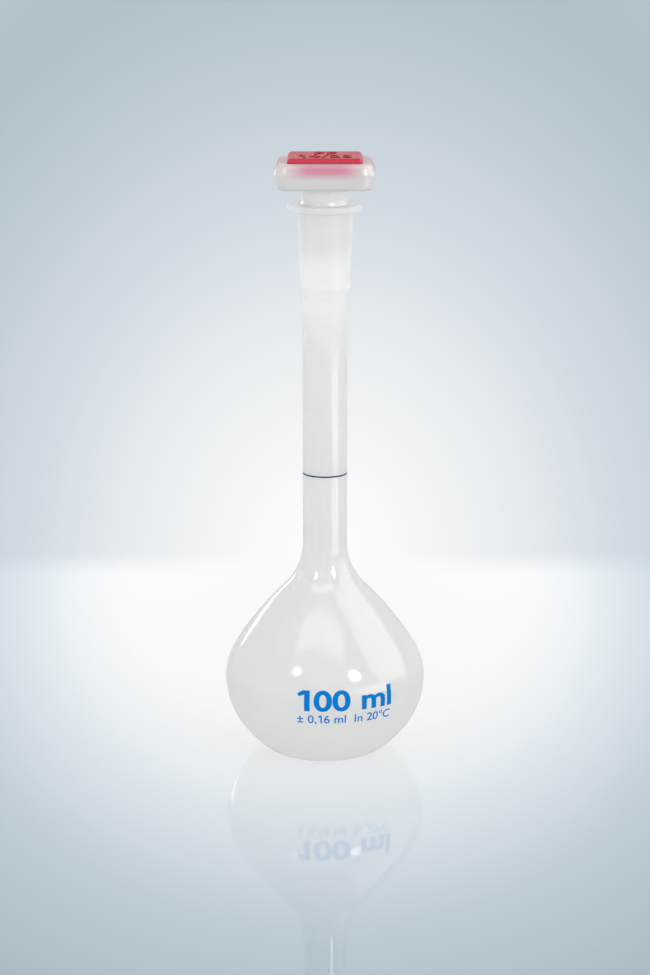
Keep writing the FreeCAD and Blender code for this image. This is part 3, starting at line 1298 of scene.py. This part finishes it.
    def make_cover(self) -> Object:
        """Skin the cover from the middle of its top, over its edge, and round its skirt.

        Returns:
            The closed cover.
        """
        top = self.head_top + self.cover_height
        skirt_out = self.recess_half - self.skirt_gap
        skirt_in = skirt_out - self.skirt_wall
        run = rounded(
            [
                (0.0, top, 0.0),
                (self.cover_half, top, self.cover_edge),
                (self.cover_half, self.head_top, self.cover_foot),
                (skirt_out, self.head_top, 0.0),
                (skirt_out, self.head_top - self.skirt_depth, self.skirt_round),
                (skirt_in, self.head_top - self.skirt_depth, self.skirt_round),
                (skirt_in, self.head_top, self.skirt_root),
                (0.0, self.head_top, 0.0),
            ]
        )
        rings: list[Ring | Vector] = []
        for half, height in run:
            corner = max(self.cover_least, self.cover_corner - (self.cover_half - half))
            rings.append(Vector((0, 0, height)) if half < 1e-6 else self.square(half, corner, height))
        return skin("cover_plate", rings)

    def make_figures(self) -> Object:
        """Raise the plastic's short name and the size of the conical socket on the cover.

        Returns:
            The raised figures.
        """
        width, height = self.figures_size
        mesh = letter_mesh(self.figures, self.figures_weight, self.figures_spacing)
        fit_letters(mesh, width, height)
        thicken(mesh, self.figures_depth)
        seat = self.head_top + self.cover_height + self.figures_lift - self.figures_depth
        for v in mesh.verts:
            v.co = Vector((v.co.x - width / 2, v.co.y + self.figures_shift, seat + v.co.z)) * MM
        return finish_mesh("cover_figures", mesh)


@dataclass(frozen=True)
class Lamp:
    """A studio lamp with an even face that looks at a point on the flask."""

    name: str
    azimuth: float
    elevation: float
    distance: float
    size: Point
    brightness: float
    shape: LampShape = LampShape.RECTANGLE
    role: LampRole = LampRole.SHINE
    roll: float = 0.0
    target: float = 0.05

    def build(self, pieces: Collection) -> None:
        """Hang the lamp and turn its face to the target.

        Args:
            pieces: the pieces of the object, which alone mirror a lamp for shine.
        """
        data = bpy.data.lights.new(self.name, "AREA")
        data.shape = self.shape.value
        data.size, data.size_y = self.size
        area = self.size[0] * self.size[1]
        if self.shape is LampShape.ELLIPSE:
            area *= math.pi / 4
        data.energy = self.brightness * math.pi * area
        side, lift = math.radians(self.azimuth), math.radians(self.elevation)
        way = Vector(
            (math.sin(side) * math.cos(lift), -math.cos(side) * math.cos(lift), math.sin(lift))
        )
        lamp = bpy.data.objects.new(self.name, data)
        lamp.location = Vector((0, 0, self.target)) + way * self.distance
        roll = Quaternion((0, 0, 1), math.radians(self.roll))
        lamp.rotation_euler = (way.to_track_quat("Z", "Y") @ roll).to_euler()
        lamp.visible_diffuse = self.role is LampRole.FILL
        lamp.visible_glossy = self.role is LampRole.SHINE
        lamp.visible_transmission = False
        bpy.context.scene.collection.objects.link(lamp)
        if self.role is LampRole.SHINE:
            lamp.light_linking.receiver_collection = pieces
        LOG.info("%s: %.2f W", self.name, data.energy)


@dataclass(frozen=True)
class Studio:
    """The tabletop, the glow behind it, the lamps and the camera."""

    floor_finish: FloorFinish = FloorFinish()
    floor_half: float = 1.5
    floor_front: float = -1.8
    floor_height: float = -0.00005
    fill: Colour = (1.0, 1.0, 1.0)
    glow_tilt: float = -15.2
    glow_reach: float = 1.2
    glow_squeeze: float = 1.22
    glow_tones: tuple[Stop, ...] = (
        (0.0, from_screen(254, 254, 254)),
        (0.02, from_screen(250, 251, 252)),
        (0.054, from_screen(239, 243, 246)),
        (0.087, from_screen(227, 232, 236)),
        (0.12, from_screen(210, 219, 226)),
        (0.172, from_screen(186, 200, 209)),
        (0.22, from_screen(166, 184, 194)),
        (0.30, from_screen(226, 231, 235)),
        (0.40, from_screen(246, 248, 249)),
        (1.0, from_screen(252, 253, 254)),
    )
    camera_place: tuple[float, float, float] = (0.0, -0.74815, 0.26249)
    camera_tilt: float = 13.5476
    camera_lens: float = 93.06
    camera_sensor: float = 36.0

    def build(self, pieces: list[Object]) -> None:
        """Set up the room round the flask.

        Args:
            pieces: the pieces of the object, which alone mirror the lamps for shine.
        """
        self.make_floor()
        self.make_world()
        mirrors = bpy.data.collections.new("mirroring_pieces")
        for piece in pieces:
            mirrors.objects.link(piece)
        for lamp in self.lamps():
            lamp.build(mirrors)
        self.make_camera()
        bpy.context.scene.view_settings.view_transform = "Standard"

    def lamps(self) -> list[Lamp]:
        """Give the lamps: six for shine, and two wide ones for an even light from the front and the right.

        Returns:
            The lamps.
        """
        return [
            Lamp("softbox", 95.0, 38.0, 1.0, (0.92, 1.4), 3.6, roll=-16.0),
            Lamp("low_side", 54.5, -3.8, 0.27, (0.18, 0.062), 4.8),
            Lamp("strip", -149.0, 7.5, 0.9, (0.30, 0.10), 5.5),
            Lamp("overhead", -10.0, 61.0, 1.1, (1.1, 0.30), 3.6),
            Lamp("front", -24.0, 10.0, 1.5, (1.8, 0.56), 1.65, role=LampRole.FILL),
            Lamp("right_side", 62.0, 13.0, 1.3, (1.4, 0.58), 1.3, role=LampRole.FILL),
            Lamp("round_right", 38.0, 30.0, 1.1, (0.23, 0.35), 40.0, LampShape.ELLIPSE),
            Lamp("round_left", -39.0, 36.0, 1.1, (0.20, 0.26), 15.0, LampShape.ELLIPSE),
        ]

    def make_floor(self) -> None:
        """Lay the tabletop under the flask."""
        mesh = bmesh.new()
        far = self.floor_finish.far_edge + self.floor_finish.fade
        left, right, near = -self.floor_half, self.floor_half, self.floor_front
        corners = [(left, near), (right, near), (right, far), (left, far)]
        mesh.faces.new([mesh.verts.new((x, y, self.floor_height)) for x, y in corners])
        floor = finish_mesh("tabletop", mesh)
        floor.data.materials.append(self.floor_finish.material())
        LOG.info("tabletop laid")

    def make_world(self) -> None:
        """Light the room evenly, and show a glow behind the table that fades outwards."""
        world = bpy.data.worlds.new("studio_glow")
        bpy.context.scene.world = world
        recipe = Recipe(world)
        way = recipe.coordinates("Generated")
        sides = recipe.parts(recipe.vector("ABSOLUTE", way))
        rise = recipe.parts(way)["Z"]
        folded = recipe.feed(recipe.node("CombineXYZ"), sides["X"], sides["Y"], rise)
        tilt = math.radians(self.glow_tilt)
        middle = (0.0, math.cos(tilt), math.sin(tilt))
        apart = recipe.vector("SUBTRACT", folded.outputs[0], middle)
        far = recipe.vector("LENGTH", recipe.vector("MULTIPLY", apart, (self.glow_squeeze, 1.0, 1.0)))
        tone = recipe.tones(recipe.math("DIVIDE", far, self.glow_reach), self.glow_tones)
        even = recipe.feed(recipe.node("Background"), (*self.fill, 1.0))
        glow = recipe.feed(recipe.node("Background"), tone)
        recipe.close(recipe.blend(recipe.shown(), even, glow))
        LOG.info("glow set")

    def make_camera(self) -> None:
        """Set the camera in front of the flask, looking slightly down."""
        data = bpy.data.cameras.new("front_camera")
        data.sensor_fit = "VERTICAL"
        data.sensor_height = self.camera_sensor
        data.sensor_width = self.camera_sensor
        data.lens = self.camera_lens
        data.clip_start = 0.01
        camera = bpy.data.objects.new("front_camera", data)
        camera.location = self.camera_place
        camera.rotation_euler = (math.radians(90 - self.camera_tilt), 0, 0)
        bpy.context.scene.collection.objects.link(camera)
        bpy.context.scene.camera = camera


def main() -> None:
    """Build the flask, its stopper and the studio."""
    logging.basicConfig(level=logging.INFO, format="%(name)s: %(message)s")
    shape = FlaskShape()
    pieces = [*Flask(shape).build(), *Stopper(shape).build()]
    Studio().build(pieces)


if __name__ == "__main__":
    main()
